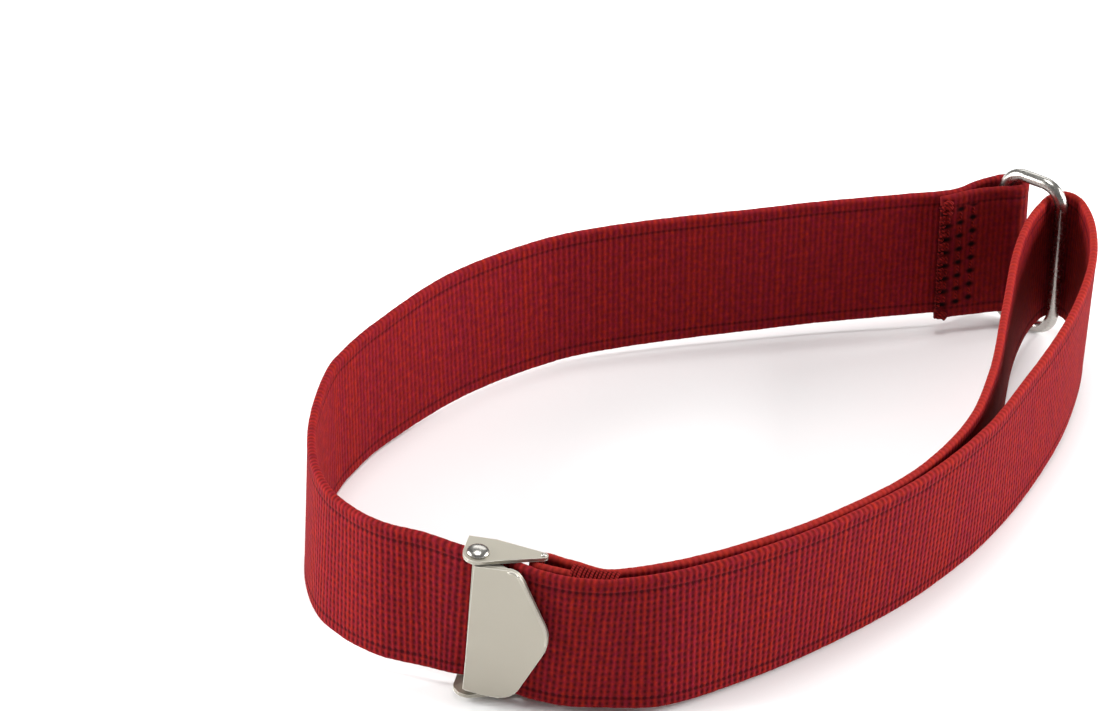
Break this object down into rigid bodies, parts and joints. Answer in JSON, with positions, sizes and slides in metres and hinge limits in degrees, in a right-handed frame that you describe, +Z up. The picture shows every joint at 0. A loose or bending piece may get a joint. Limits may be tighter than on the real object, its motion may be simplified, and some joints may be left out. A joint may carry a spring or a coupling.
{
  "type": "shirt sleeve holder",
  "caption": "Elastic loop worn round the upper arm to hold up a shirt sleeve, set to size with a wire ring and a cam-lever clip.",
  "frame": {"origin": "middle of the plan box, on the surface that the band stands on", "axes": "+X to the right as seen from the clip's side, towards the ring; +Y away from the clip; +Z up, across the band's width"},
  "size_m": [0.109, 0.099, 0.0254],
  "materials": {
    "woven_elastic": "matt red woven elastic with fine ribs",
    "plated_wire": "bright plated steel wire",
    "nickel_frame": "satin nickel-plated pressed steel",
    "bright_pin": "bright plated steel pin",
    "nickel_lever": "satin nickel-plated pressed steel"
  },
  "bodies": {
    "band": {"elastic_band": "woven_elastic", "ring": "plated_wire", "clip_frame": "nickel_frame", "hinge_pin": "bright_pin"},
    "lever": {"clip_lever": "nickel_lever"}
  },
  "joints": [
    {"name": "lever_hinge", "type": "hinge", "parent": "band", "child": "lever", "pos_m": [-0.03166, -0.0449, 0.01156], "axis": [-0.0711, 0.0576, -0.9958], "range_deg": [0, 100]}
  ]
}
